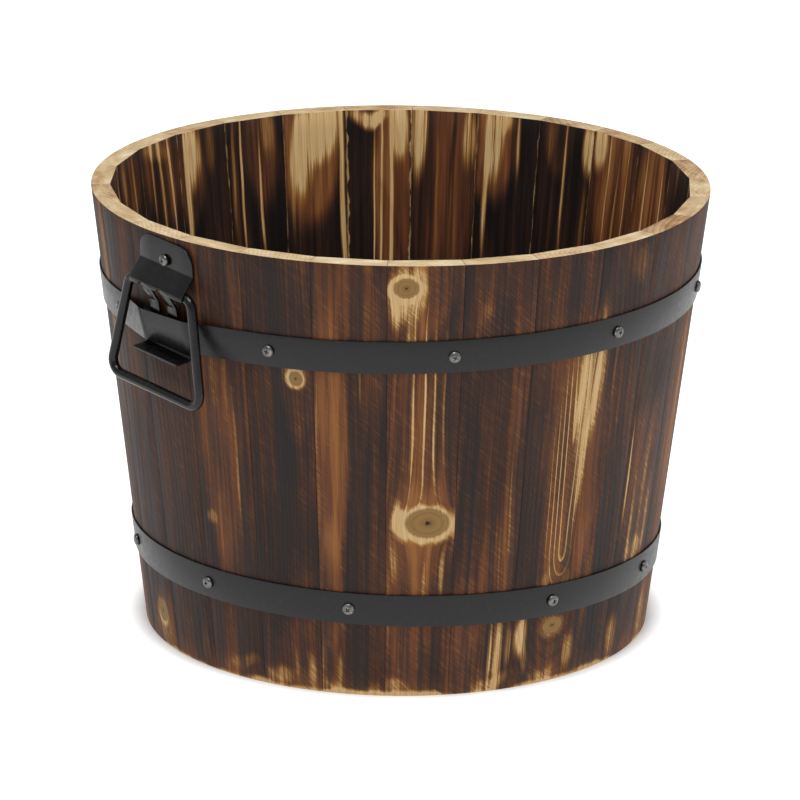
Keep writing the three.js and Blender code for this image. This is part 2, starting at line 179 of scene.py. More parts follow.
# noise stretched over cells of a size in millimetres, moved on by a board's seed
def grainNoise(tree, place, grain, seed):
    *size, detail = grain
    cells = addUp(tree, (seed, seed * 1.7, seed * 0.6), [(place, tuple(1000 / s for s in size))], "VectorMath")
    return addNode(tree, "TexNoise", {"Vector": cells, "Scale": 1, "Detail": detail, "Roughness": 0.6})


# a place measured from a middle in half widths and half heights: 1 on the oval's edge
def fromOval(tree, place, across, up, wide, tall):
    start = (-across / wide, 0, -up / tall)
    return addUp(tree, start, [(place, (1000 / wide, 0, 1000 / tall))], "VectorMath")


def ovalReach(tree, place, *oval):
    return addNode(tree, "VectorMath", {0: fromOval(tree, place, *oval)}, operation="LENGTH").outputs["Value"]


# how far through a year's growth a place is, 0 to 1: the rings lie round the log's pith and waver, a slant runs
# them out of the board's face as it goes up, and below a tongue's height they turn round in narrow U shapes
def ringPhase(tree, place, board, waver, reach):
    across, deep = board["pith"]
    flat = addUp(tree, (-across / 1000, -deep / 1000, 0), [(place, (1, 1, 0))], "VectorMath")
    height = addNode(tree, "SeparateXYZ", {0: place}).outputs["Z"]
    if "tongue" in board:
        below = addNode(tree, "MapRange", {0: height, 1: 0, 2: board["tongue"] / 1000, 3: board["tongue"] / 3000, 4: 0})
        below = addNode(tree, "CombineXYZ", {"Z": below})
        flat = addNode(tree, "VectorMath", {0: flat, 1: below}, operation="ADD")
    radius = addNode(tree, "VectorMath", {0: flat}, operation="LENGTH").outputs["Value"]
    distance = addUp(tree, radius, [(height, board["slant"]), (waver, reach)])
    count = addNode(tree, "Math", {0: distance, 1: 1000 / board["rings"]}, operation="MULTIPLY")
    return addNode(tree, "Math", {0: count}, operation="FRACT")


# board holds the pith's place, the pale zones, the knots and the seed of one stave's face
def charredFir(name, board, inside):
    material, tree, surface = newMaterial(name)
    place = addNode(tree, "Attribute", attribute_name="grain").outputs["Vector"]
    height = addNode(tree, "SeparateXYZ", {0: place}).outputs["Z"]
    seed = board["seed"]

    # the grain drifts sideways, and parts round each knot as water does round a stone
    wander = grainNoise(tree, place, firGrain["wander"], seed)
    drift = addNode(tree, "VectorMath", {0: wander.outputs["Color"], 1: (0.5, 0.5, 0.5)}, operation="SUBTRACT")
    flow = addUp(tree, place, [(drift, firGrain["drift"])], "VectorMath")
    for across, up, wide, tall, _ in board["knots"]:
        around = fromOval(tree, place, across, up, wide, tall * 1.4)
        squared = addNode(tree, "VectorMath", {0: around, 1: around}, operation="DOT_PRODUCT").outputs["Value"]
        spread = addNode(tree, "Math", {0: squared, 1: 1.0}, operation="MAXIMUM")
        aside = addNode(tree, "SeparateXYZ", {0: around}).outputs["X"]
        aside = addNode(tree, "Math", {0: aside, 1: spread}, operation="DIVIDE")
        aside = addNode(tree, "CombineXYZ", {"X": aside})
        flow = addUp(tree, flow, [(aside, (-wide / firGrain["knotPush"], 0, 0))], "VectorMath")
    fibre = grainNoise(tree, flow, firGrain["fibre"], seed)
    streak = grainNoise(tree, flow, firGrain["streak"], seed)
    patch = grainNoise(tree, place, firGrain["patch"], seed)

    # late wood: a thin dark line at the end of each year's ring
    phase = ringPhase(tree, flow, board, wander, firGrain["ringWaver"])
    late = addNode(tree, "ValToRGB", {0: phase}, stops=[(0, 0), (0.45, 0.05), (0.84, 1), (1, 0)])
    relief = addUp(tree, fibre, [(late, 0.6)])

    ragged = addUp(tree, flow, [(drift, firGrain["torn"])], "VectorMath")

    def shareOf(places, full):
        total = 0.0
        for *oval, strength in places:
            share = addNode(tree, "MapRange", {0: ovalReach(tree, ragged, *oval), 1: full, 2: 1.25, 3: strength, 4: 0},
                            interpolation_type="SMOOTHSTEP")
            total = addUp(tree, total, [(share, 1)])
        return total

    # how pale each place is: whole zones, and zones where only the lines of the rings are pale
    torn = addUp(tree, streak, [(fibre, 0.45)])
    torn = addNode(tree, "MapRange", {0: torn, 1: 0.52, 2: 0.82, 3: 0.30, 4: 1.25})
    pale = addNode(tree, "Math", {0: shareOf(board["zones"], 0.3), 1: torn}, operation="MULTIPLY")
    if board["lined"]:
        lines = addNode(tree, "MapRange", {0: late, 1: 0.4, 2: 0.95, 3: 0.10, 4: 1})
        pale = addUp(tree, pale, [(shareOf(board["lined"], 0.5), lines)])

    # a pale halo round each knot, wider on its lower left
    for across, up, wide, tall, strength in board["knots"]:
        reach = ovalReach(tree, place, across - wide * 0.12, up - tall * 0.10, wide, tall)
        reach = addUp(tree, reach, [(streak, 0.7)])
        halo = addNode(tree, "MapRange", {0: reach, 1: 1.38, 2: 2.05, 3: strength, 4: 0},
                       interpolation_type="SMOOTHSTEP")
        pale = addUp(tree, pale, [(halo, 1)])

    # thin pale streaks all over, where the flame missed a ridge
    ridge = addNode(tree, "MapRange", {0: fibre, 1: 0.58, 2: 0.80})
    often = addNode(tree, "MapRange", {0: streak, 1: 0.46, 2: 0.70, 3: 0, 4: board["ridges"]})
    pale = addUp(tree, pale, [(ridge, often)])

    # how lightly each place is burnt
    burn = addUp(tree, board["tone"] - 0.21, [(streak, 0.70), (patch, 0.55), (fibre, 0.22), (late, -0.06),
                                              (shareOf(board["bands"], 0.75), 1)])
    if not inside:
        low = addNode(tree, "MapRange", {0: height, 1: firFoot["downTo"], 2: firFoot["from"], 3: firFoot["lighter"],
                                         4: 0})
        burn = addUp(tree, burn, [(low, 1)])

        # the wire brush shows most where the wood is lightly burnt
        turned = addNode(tree, "VectorRotate", {0: place, "Angle": math.radians(firGrain["scratchAngle"])},
                         rotation_type="Y_AXIS")
        marks = grainNoise(tree, turned, firGrain["scratch"], seed)
        marks = addNode(tree, "MapRange", {0: marks, 1: 0.48, 2: 0.70})
        where = addNode(tree, "MapRange", {0: burn, 1: 0.34, 2: 0.60, 3: 0.07, 4: 0.46})
        scratches = addNode(tree, "Math", {0: marks, 1: where}, operation="MULTIPLY")
        relief = addUp(tree, relief, [(scratches, -0.4)])

        # this noise runs on from stave to stave, since the foot is rubbed as a whole
        whole = addNode(tree, "TexCoord").outputs["Object"]
        rubbed = addNode(tree, "TexNoise", {"Vector": whole, "Scale": firFoot["rubScale"], "Detail": 3})
        edge = addNode(tree, "MapRange", {0: rubbed, 1: 0.38, 2: 0.60, 3: firFoot["wornLow"], 4: firFoot["wornHigh"]})
        edge = addUp(tree, edge, [(streak, firFoot["frayed"])])
        above = addNode(tree, "Math", {0: height, 1: edge}, operation="SUBTRACT")
        worn = addNode(tree, "MapRange", {0: above, 1: firFoot["fadeLow"], 2: firFoot["fadeHigh"], 3: 1, 4: 0},
                       interpolation_type="SMOOTHSTEP")
        pale = addUp(tree, pale, [(scratches, 0.8), (worn, 1)])
    char = addNode(tree, "ValToRGB", {0: burn}, stops=firColours["char"])

    pale = addNode(tree, "Math", {0: pale, 1: 1.0}, operation="MULTIPLY", use_clamp=True)
    lightness = addUp(tree, -0.10, [(fibre, 0.40), (pale, 0.58), (late, -0.10)])
    honey = addNode(tree, "ValToRGB", {0: lightness}, stops=firColours["pale"])
    colour = addNode(tree, "Mix", {0: pale, 6: char, 7: honey}, data_type="RGBA").outputs[2]

    for *oval, _ in board["knots"]:
        rough = addUp(tree, ovalReach(tree, place, *oval), [(fibre, 0.30)])
        rough = addNode(tree, "Math", {0: rough, 1: 0.15}, operation="SUBTRACT")
        eye = addNode(tree, "ValToRGB", {0: rough}, stops=firColours["knot"])
        inKnot = addNode(tree, "MapRange", {0: rough, 1: 0.92, 2: 1.10, 3: 1, 4: 0})
        colour = addNode(tree, "Mix", {0: inKnot, 6: colour, 7: eye}, data_type="RGBA").outputs[2]

    if inside:
        # glue squeezed out of the joints and left to set in beads
        seam = addNode(tree, "Attribute", attribute_name="across").outputs["Fac"]
        seam = addNode(tree, "Math", {0: seam}, operation="ABSOLUTE")
        beads = grainNoise(tree, place, firGrain["bead"], seed)
        least = addNode(tree, "MapRange", {0: beads, 1: 0.35, 2: 0.65, 3: 1 - board["glue"], 4: 1.005})
        isGlue = addNode(tree, "Math", {0: seam, 1: least}, operation="SUBTRACT")
        isGlue = addNode(tree, "MapRange", {0: isGlue, 1: -0.012, 2: 0.012})
        glue = linear(firColours["glue"])
        colour = addNode(tree, "Mix", {0: isGlue, 6: colour, 7: glue}, data_type="RGBA").outputs[2]
        relief = addUp(tree, relief, [(isGlue, 1.2)])
    shine = addNode(tree, "MapRange", {0: streak, 1: 0.3, 2: 0.7, 3: 0.52, 4: 0.72})
    finish(surface, colour, shine, relief, firGrain["relief"], 0.25 if inside else 0.32)
    return material


# sawn end grain, sanded and sealed: cream with the growth rings cut across, scorched here and there
def firEndGrain(name, board):
    material, tree, surface = newMaterial(name)
    place = addNode(tree, "Attribute", attribute_name="grain").outputs["Vector"]
    blotch = grainNoise(tree, place, firGrain["blotch"], board["seed"])
    pores = grainNoise(tree, place, firGrain["pore"], board["seed"])
    phase = ringPhase(tree, place, board, blotch, firGrain["endWaver"])
    early = addNode(tree, "ValToRGB", {0: phase}, stops=[(0, 1), (0.45, 0.9), (0.84, 0), (0.96, 1)])
    # a board's end value shifts its end grain's tone: the board's own tone, and on the staves nearest the camera also a
    # painted highlight
    tone = addUp(tree, board["end"] - 0.25, [(pores, 0.20), (early, 0.18), (blotch, 1.15)])
    colour = addNode(tree, "ValToRGB", {0: tone}, stops=firColours["end"])
    finish(surface, colour, 0.6, pores, firGrain["relief"] / 2)
    return material


# What shows on each stave: places are millimetres across from its middle and up from the floor. A zone or a
# band is (across, up, half width, half height, strength), and so is a knot, where the strength is its halo's.
# end is how light a stave's end grain is at the rim: on staves 1, 2 and 26, nearest the camera, it is raised as a
# painted highlight along the near rim; on the others it is the board's own tone
outsides = {
    1: {"pith": (60, 40), "slant": 0.02, "rings": 3.0, "tone": -0.01, "ridges": 0.25, "end": 0.16,
        "knots": [(4.0, 114, 13, 9.5, 1.3), (-11.5, 264, 7.2, 6.2, 1.2)],
        "zones": [(-9.5, 121, 3.6, 13, 1.1), (-13, 92, 2, 18, 0.6), (13, 86, 1.6, 20, 0.55), (4, 86, 1.2, 20, 0.5),
                  (18, 112, 3, 12, 0.6), (-4, 190, 0.9, 76, 1.0), (2.5, 190, 0.8, 76, 0.95), (8, 185, 1.0, 70, 0.8),
                  (13.5, 190, 0.8, 56, 0.5), (-13, 266, 9, 20, 1.1), (-3, 268, 5, 22, 0.8), (-7, 240, 3, 18, 0.6),
                  (-16, 60, 1.2, 40, 0.3), (-12, 5, 10, 7, 0.5)],
        "bands": [(0, 175, 17, 70, 0.09), (2, 112, 20, 34, 0.10), (3, 185, 10, 50, -0.09), (4, 262, 12, 24, 0.14)]},
    2: {"pith": (-60, 60), "slant": 0.01, "rings": 4.2, "tone": -0.06, "ridges": 0.25, "end": 0.14, "knots": [],
        "zones": [(5.5, 25, 1.6, 26, 0.9), (11, 24, 3.5, 27, 1.0), (18, 30, 3, 20, 0.6), (15, 105, 0.9, 60, 0.5),
                  (9, 90, 0.7, 36, 0.35), (-8, 245, 5, 10, 0.25), (8, 6, 14, 7, 0.7)],
        "bands": [(15, 120, 4, 80, 0.15), (-10, 60, 6, 50, 0.08)]},
    3: {"pith": (12.5, 2), "slant": -0.015, "rings": 3.1, "tone": -0.05, "ridges": 0.25, "end": 0.08,
        "tongue": 86, "knots": [(9.5, 37, 7.5, 5.5, 0.35)],
        "zones": [(-13, 33, 5.5, 17, 1.1), (-9, 16, 3, 12, 0.6), (18, 190, 7, 44, 1.1), (20, 140, 3, 30, 0.8),
                  (17, 60, 4, 14, 0.4), (2, 72, 6, 8, 0.35), (6, 6, 12, 6, 0.6)],
        "lined": [(10, 140, 14, 84, 1.2)], "bands": [(10, 150, 16, 80, 0.16)]},
    4: {"pith": (-45, 40), "slant": 0.03, "rings": 3.4, "tone": -0.06, "ridges": 0.25, "end": 0.10, "knots": [],
        "zones": [(-18, 196, 9, 44, 1.25), (-21, 145, 4, 34, 0.9), (-15, 12, 6, 16, 0.6), (-2, 205, 1.2, 40, 0.35),
                  (12, 262, 9, 12, 0.25), (-6, 60, 4, 30, 0.25)],
        "bands": [(-16, 150, 9, 90, 0.20)]},
    5: {"pith": (16, 55), "slant": 0.05, "rings": 3.6, "tone": -0.04, "ridges": 0.45, "end": -0.26, "knots": [],
        "zones": [(-18.5, 118, 1.3, 34, 1.0), (1, 72, 12, 12, 0.8), (4, 110, 3, 40, 0.55), (-8, 96, 2, 30, 0.6),
                  (13, 92, 3, 32, 0.5), (-14, 16, 8, 18, 0.6)],
        "bands": [(0, 110, 17, 60, 0.14)]},
    6: {"pith": (-70, 30), "slant": 0.02, "rings": 3.0, "tone": 0.02, "ridges": 0.5, "end": 0.04, "knots": [],
        "zones": [(8, 175, 3, 60, 0.4), (-6, 20, 8, 24, 0.5), (15, 110, 2, 50, 0.4)],
        "bands": [(8, 170, 8, 80, 0.1)]},
    7: {"pith": (-9, 14), "slant": 0.02, "rings": 3.4, "tone": 0.03, "ridges": 0.6, "end": 0.06, "knots": [],
        "zones": [(2, 200, 6, 40, 0.4), (-10, 90, 4, 50, 0.4)], "bands": []},
    8: {"end": -0.16},
    26: {"pith": (40, 60), "slant": 0.012, "rings": 3.0, "tone": -0.04, "ridges": 0.2, "end": 0.14, "knots": [],
         "zones": [(-20, 150, 1.2, 60, 0.5), (6, 205, 1, 22, 0.5), (-18, 20, 2, 18, 0.5), (-9, 16, 2, 16, 0.45),
                   (8, 8, 8, 8, 0.5), (-14, 4, 8, 6, 0.6)],
         "bands": [(-12.5, 165, 10, 78, 0.21), (-14, 70, 7, 45, 0.16)]},
    25: {"pith": (-80, 20), "slant": 0.01, "rings": 2.6, "tone": -0.05, "ridges": 0.15, "end": 0.08,
         "knots": [(11, 203, 4.4, 4.6, 0.7)],
         "zones": [(9, 206, 8, 12, 0.7), (14, 14, 3, 16, 0.5), (4, 12, 1.5, 14, 0.4), (-8, 6, 10, 7, 0.6)],
         "bands": [(10, 190, 10, 28, 0.1)]},
    24: {"pith": (60, 50), "slant": 0.02, "rings": 2.8, "tone": -0.04, "ridges": 0.2, "end": 0.03, "knots": [],
         "zones": [(-3, 190, 3, 22, 0.4), (6, 195, 1.5, 30, 0.4), (10.5, 140, 1.2, 56, 0.45), (-12, 100, 6, 6, 0.55),
                   (4, 6, 12, 6, 0.4)],
         "bands": [(-2, 140, 14, 74, 0.17)]},
    # staves 23 and 22 lie on the grazing left side: their darker tone and fewer pale ridges are partly painted shade
    # for that side and partly the boards' own char
    23: {"pith": (-50, 60), "slant": 0.01, "rings": 2.6, "tone": -0.09, "ridges": 0.08, "end": 0.10, "knots": [],
         "zones": [(10, 20, 3, 16, 0.3)], "bands": [(-14, 140, 4, 90, 0.08)]},
    22: {"pith": (20, 60), "slant": 0.03, "rings": 3.0, "tone": -0.09, "ridges": 0.08, "end": 0.06,
         "knots": [(2, 22, 6, 7, 0.5)], "zones": [(2, 18, 12, 15, 0.5)],
         "bands": [(2, 20, 16, 26, 0.12)]},
}
insides = {
    9: {"zones": [(-12, 230, 1, 70, 0.88), (-2, 240, 1, 60, 0.75), (9, 240, 1.2, 60, 0.88), (14, 262, 5, 20, 0.62)],
        "bands": [(0, 238, 21, 58, 0.29)], "tone": -0.09, "ridges": 0.42},
    10: {"zones": [(-13, 240, 1, 60, 0.88), (-4, 235, 1.2, 60, 0.75), (6, 245, 1.2, 50, 0.88), (15, 268, 7, 22, 1.38)],
         "bands": [(-4, 238, 19, 58, 0.27)], "tone": -0.12, "ridges": 0.36},
    11: {"zones": [(0, 240, 1, 60, 0.75), (-17, 200, 2, 60, 0.5), (-18, 268, 6, 20, 1.25), (11, 262, 3, 18, 0.38)],
         "bands": [(6, 270, 11, 28, 0.21)], "tone": -0.18, "ridges": 0.18},
    12: {"zones": [(9, 264, 8, 34, 1.62), (14, 225, 2.2, 46, 0.88), (-8, 262, 2, 30, 0.62), (2, 272, 8, 10, 0.75)],
         "bands": [(10, 258, 17, 38, 0.36)], "tone": -0.18, "ridges": 0.18},
    13: {"zones": [(16, 264, 6, 34, 1.38), (-16, 262, 5, 26, 1.12), (-5, 240, 1, 70, 0.5), (4, 230, 1, 60, 0.38)],
         "bands": [(0, 228, 21, 78, 0.27)], "tone": -0.18, "ridges": 0.36},
    14: {"zones": [(-14, 266, 8, 28, 1.62), (-9, 222, 1.6, 90, 1.38), (-2, 225, 1.1, 90, 1.12), (3, 220, 0.9, 70, 0.88),
                   (6, 277, 14, 7, 1.25)],
         "bands": [(-10, 233, 13, 78, 0.33)], "tone": -0.16, "ridges": 0.15, "glue": 0.08},
    15: {"zones": [(-2, 268, 17, 22, 1.8), (9, 250, 8, 30, 1.62), (-18, 225, 2, 90, 1.25), (15, 236, 2, 40, 0.62)],
         "bands": [(4, 253, 21, 46, 0.33)], "tone": -0.18, "ridges": 0.18},
    16: {"zones": [(-3, 222, 1.4, 44, 1.25), (11, 232, 1.1, 64, 1.12), (-9, 268, 7, 22, 0.5), (17, 240, 2, 50, 0.62)],
         "bands": [(-4, 258, 13, 38, 0.23)], "tone": -0.19, "ridges": 0.18},
    17: {"zones": [(10, 268, 9, 26, 1.62), (15, 236, 3, 50, 1.25), (-6, 270, 4, 20, 0.38)],
         "bands": [(12, 258, 12, 38, 0.31)], "tone": -0.19, "ridges": 0.12},
    18: {"zones": [(-10, 250, 1.4, 50, 1), (0, 255, 2, 50, 0.75), (9, 260, 1.4, 40, 0.88), (4, 275, 16, 8, 0.62)],
         "bands": [(0, 263, 19, 38, 0.21)], "tone": -0.11, "ridges": 0.54},
    19: {"zones": [(-6, 262, 3, 30, 0.62), (12, 268, 4, 20, 0.5)], "bands": [(0, 270, 19, 28, 0.19)], "tone": -0.14,
         "ridges": 0.30},
}


# a board that the tables don't hold: a few zones at random, the same on every run
def plainBoard(index, inside):
    draw = random.Random(index * 7 + (3 if inside else 0))
    zones = []
    for _ in range(draw.randint(1, 3)):
        up = 278 - draw.uniform(0, 25) if inside else draw.uniform(10, 260)
        zones.append((draw.uniform(-17, 17), up, draw.uniform(2, 8), draw.uniform(18, 60), draw.uniform(0.2, 0.9)))
    knots = []
    if not inside and draw.random() < 0.3:
        across, up = draw.uniform(-9, 9), draw.uniform(70, 200)
        knots.append((across, up, draw.uniform(4, 7), draw.uniform(4, 6), draw.uniform(0.5, 1.2)))
    return {"pith": (draw.uniform(-60, 60), draw.uniform(35, 65)), "slant": draw.uniform(0.01, 0.06),
            "rings": draw.uniform(2.6, 4.2), "tone": draw.uniform(-0.10, -0.01), "ridges": draw.uniform(0.1, 0.4),
            "knots": knots, "zones": zones, "lined": [], "seed": index * 3.7 + (50 if inside else 0),
            "bands": [(draw.uniform(-12, 12), draw.uniform(60, 220), draw.uniform(5, 12), 90, draw.uniform(0.05, 0.2))],
            "glue": draw.uniform(0.01, 0.03), "end": draw.uniform(-0.12, 0.12)}


# ---- staves ----

stave = {
    "joint": 0.00006,  # between two staves
    "rowHeight": 0.012,
    "steps": 6,  # round the outside
    "edge": 0.0003,  # how far the sawn edges are eased
    "grooveLow": 0.0200,
    "grooveHigh": 0.0316,
    "grooveDepth": 0.004,
    "hair": 0.0001,
    "upright": 0.005,  # an edge that rises further than this isn't a groove's
}


def rowsBetween(low, high):
    count = max(1, round((high - low) / stave["rowHeight"]))
    return [low + (high - low) * i / count for i in range(count + 1)]


def makeStave(index):
    half = 180 / barrel["staves"]
    middle = barrel["firstSeam"] + (2 * index - 1) * half
    gap = math.degrees(stave["joint"] / 2 / barrel["footRadius"])
    top, wall, depth = barrel["height"], barrel["wall"], stave["grooveDepth"]
    profile = [(wallRadius(z), z) for z in rowsBetween(0, top)]
    profile += [(wallRadius(z) - wall, z) for z in reversed(rowsBetween(stave["grooveHigh"], top))]
    profile += [(wallRadius(z) - wall + depth, z) for z in (stave["grooveHigh"], stave["grooveLow"])]
    profile += [(wallRadius(z) - wall, z) for z in (stave["grooveLow"], 0)]
    bm = bmesh.new()
    section = bm.faces.new([bm.verts.new(compass(middle - half + gap) * r + Vector((0, 0, z))) for r, z in profile])
    bmesh.ops.spin(bm, geom=[section, *section.edges, *section.verts], cent=(0, 0, 0), axis=(0, 0, 1),
                   angle=math.radians(2 * (half - gap)), steps=stave["steps"])
    bmesh.ops.remove_doubles(bm, verts=bm.verts, dist=1e-7)
    for vert in bm.verts:  # the inside is planed flat
        radius = vert.co.xy.length
        if radius < wallRadius(vert.co.z) - wall + depth / 2:
            off = vert.co.xy.angle(compass(middle).xy)
            vert.co.xy *= 1 / math.cos(off)
    bmesh.ops.recalc_face_normals(bm, faces=bm.faces)

    # the sawn edges are eased, but not those that run along the groove
    def isSawn(edge):
        low, high = sorted(v.co.z for v in edge.verts)
        byGroove = stave["hair"] < low < stave["grooveHigh"] + stave["hair"]
        return edge.calc_face_angle(0) > 1 and (not byGroove or high - low > stave["upright"])

    bevel(bm, [e for e in bm.edges if isSawn(e)], stave["edge"])
    outward = compass(middle)
    for face in bm.faces:
        face.smooth = True
        if abs(face.normal.z) > 0.75:
            face.material_index = 2
        elif face.normal.dot(outward) < -0.6:
            face.material_index = 1
    name = f"fir_stave_{index:02d}"
    mesh = meshFrom(bm, name)
    mesh.set_sharp_from_angle(angle=math.radians(35))

    turns = [(math.degrees(math.atan2(v.co.x, -v.co.y)) - middle + 180) % 360 - 180 for v in mesh.vertices]
    radii = [v.co.xy.length for v in mesh.vertices]
    grain = mesh.attributes.new("grain", "FLOAT_VECTOR", "POINT")
    for i, vert in enumerate(mesh.vertices):
        grain.data[i].vector = (radii[i] * math.radians(turns[i]), radii[i] - wallRadius(vert.co.z), vert.co.z)
    across = mesh.attributes.new("across", "FLOAT", "POINT")
    across.data.foreach_set("value", [turn / half for turn in turns])
    outside = {**plainBoard(index, False), **outsides.get(index, {})}
    inside = {**plainBoard(index, True), **insides.get(index, {})}
    mesh.materials.append(charredFir(f"charred_fir_outside_{index:02d}", outside, False))
    mesh.materials.append(charredFir(f"charred_fir_inside_{index:02d}", inside, True))
    mesh.materials.append(firEndGrain(f"fir_end_grain_{index:02d}", outside))
    piece = newObject(name, mesh)
    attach(piece, "barrel")
    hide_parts(f"stave_{index:02d}")


for index in range(1, barrel["staves"] + 1):
    makeStave(index)
print("staves made")


def addPiece(name, bm, material, body, node, smoothAngle=35):
    bmesh.ops.recalc_face_normals(bm, faces=bm.faces)
    for face in bm.faces:
        face.smooth = True
    mesh = meshFrom(bm, name)
    mesh.set_sharp_from_angle(angle=math.radians(smoothAngle))
    mesh.materials.append(material)
    piece = newObject(name, mesh)
    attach(piece, body)
    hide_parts(node)
    return piece


# ---- steel ----

# mild steel in black stove enamel: near black, half glossy, with a faint orange peel and a few dull rubs
def blackEnamel(name, tint, glossiest, dullest):
    material, tree, surface = newMaterial(name)
    place = addNode(tree, "TexCoord").outputs["Object"]
    peel = addNode(tree, "TexNoise", {"Vector": place, "Scale": 1100, "Detail": 2})
    dents = addNode(tree, "TexNoise", {"Vector": place, "Scale": 55, "Detail": 2})
    rubs = addNode(tree, "TexNoise", {"Vector": place, "Scale": 240, "Detail": 4, "Roughness": 0.7})
    dull = addNode(tree, "MapRange", {0: rubs, 1: 0.52, 2: 0.74, 3: 0, 4: 0.35})
    colour = addNode(tree, "Mix", {0: dull, 6: linear(tint), 7: linear("#34332f")}, data_type="RGBA").outputs[2]
    rough = addNode(tree, "MapRange", {0: rubs, 1: 0.35, 2: 0.65, 3: glossiest, 4: dullest})
    finish(surface, colour, rough, addUp(tree, peel, [(dents, 1.2)]), 0.00015, 0.38)
    return material


# hardened screws in black oxide: dark grey metal, rubbed brighter here and there
def blackOxide():
    material, tree, surface = newMaterial("black_oxide_screw")
    place = addNode(tree, "TexCoord").outputs["Object"]
    rub = addNode(tree, "TexNoise", {"Vector": place, "Scale": 420, "Detail": 2})
    worn = addNode(tree, "MapRange", {0: rub, 1: 0.45, 2: 0.7, 3: 0, 4: 0.6})
    colour = addNode(tree, "Mix", {0: worn, 6: linear("#6b6a68"), 7: linear("#a5a29b")}, data_type="RGBA").outputs[2]
    rough = addNode(tree, "MapRange", {0: rub, 1: 0.3, 2: 0.7, 3: 0.28, 4: 0.42})
    finish(surface, colour, rough, rub, 0.00005)
    fillInputs(surface, {"Metallic": 1})
    return material


satin = blackEnamel("black_enamel_strap", "#121213", 0.26, 0.38)
gloss = blackEnamel("black_enamel_handle", "#0c0c0d", 0.11, 0.24)
oxide = blackOxide()

# ---- hoops ----

strap = {
    "width": 0.0205,
    "thickness": 0.001,
    "stand": 0.0002,  # off the staves
    "corner": 0.0003,
    "step": 0.75,  # degrees between sections
    "lap": 0.030,
    "screwLead": 0.006,
    "lapRise": (348, 11),  # degrees along the strip where it starts to climb onto the lap, and how many it takes
    "uneven": 0.00012,
}
plate = {
    "thickness": 0.0015,
    "fit": 0.0003,
    "earHalf": 0.024,
    "earAboveBar": 0.0292,
    "earCorner": 0.011,
    "screwAboveBar": 0.0169,
    "creaseAboveBar": 0.0123,
    "lip": -28,
    "leaving": -35,
    "fingerWidth": 0.0085,
    "fingerSpacing": 0.0164,
    "notch": 0.0022,  # the radius of the relief notch beside each finger
    "notchBeside": 0.0014,
    "leafHalf": 0.020,
    "leafOff": 0.0034,  # off the wall at the leaf's top
    "leafLean": 0.12,  # the leaf closes on the wall going down
    "leafTop": 0.2265,
    "leafFit": 0.0005,
    "flareTop": 0.20495,
    "flareDrop": 0.001,
    "flareReach": 0.0115,
    "leafCorner": 0.0005,
    "creaseRadius": 0.0022,
    "edge": 0.0003,
}
ring = {
    "wire": 0.003,
    "barHeight": 0.2461,
    "barOff": 0.00605,
    "fit": 0.0006,
    "topHalf": 0.028,
    "bottomHalf": 0.042,
    "drop": 0.0645,
    "topBend": 0.007,
    "bottomBend": 0.008,
}
handles = {"left": {"azimuth": -90, "tilt": 4.4}, "right": {"azimuth": 90, "tilt": 0}}
hoops = {
    "upper": {"height": 0.2206, "rise": 0.003, "highSide": 50, "lapScrew": 145, "overLeaves": True,
              "screws": [-108.6, -67.2, -32.4, 2, 36.2, 71, 111, 145, 180, 215]},
    "lower": {"height": 0.0537, "rise": 0.0045, "highSide": -86, "lapScrew": 132, "overLeaves": False,
              "screws": [-118.8, -86, -52.5, -7.8, 24.6, 60, 96, 132, 168, 204]},
}
taper = math.atan((barrel["rimRadius"] - barrel["footRadius"]) / barrel["height"])


def turnFrom(start, azimuth):
    return (azimuth - start + 180) % 360 - 180


def leafGap(z):
    return plate["leafOff"] - plate["leafLean"] * (plate["leafTop"] - z)


def leafFace(z):
    return wallRadius(z) + leafGap(z) + plate["thickness"] / math.cos(taper)


# the strap's inner face: on the wall, or pulled flat over a handle's leaf and straight back to the wall
def strapRadius(hoop, azimuth, z):
    wall = wallRadius(z) + strap["stand"]
    for handle in handles.values() if hoop["overLeaves"] else ():
        sideways = (ring["barHeight"] - z) * math.sin(math.radians(handle["tilt"]))
        middle = handle["azimuth"] - math.degrees(math.atan2(sideways, leafFace(z)))
        turn = turnFrom(middle, azimuth)
        side = 1 if turn > 0 else -1
        face = leafFace(z) + plate["leafFit"]
        corner = math.atan2(plate["leafHalf"], face)
        cornerRadius = math.hypot(plate["leafHalf"], face)
        nearest = min(s for s in (side * turnFrom(middle, a) for a in hoop["screws"]) if s > 0)
        landing = min(corner + math.acos(wall / cornerRadius), math.radians(nearest) - strap["screwLead"] / wall)
        off = math.radians(abs(turn))
        if off < corner:
            return face / math.cos(off)
        if off < landing:
            inverse = math.sin(landing - off) / cornerRadius + math.sin(off - corner) / wall
            return math.sin(landing - corner) / inverse
    return wall


def hoopMiddle(hoop, azimuth):
    return hoop["height"] + hoop["rise"] * math.cos(math.radians(azimuth - hoop["highSide"]))


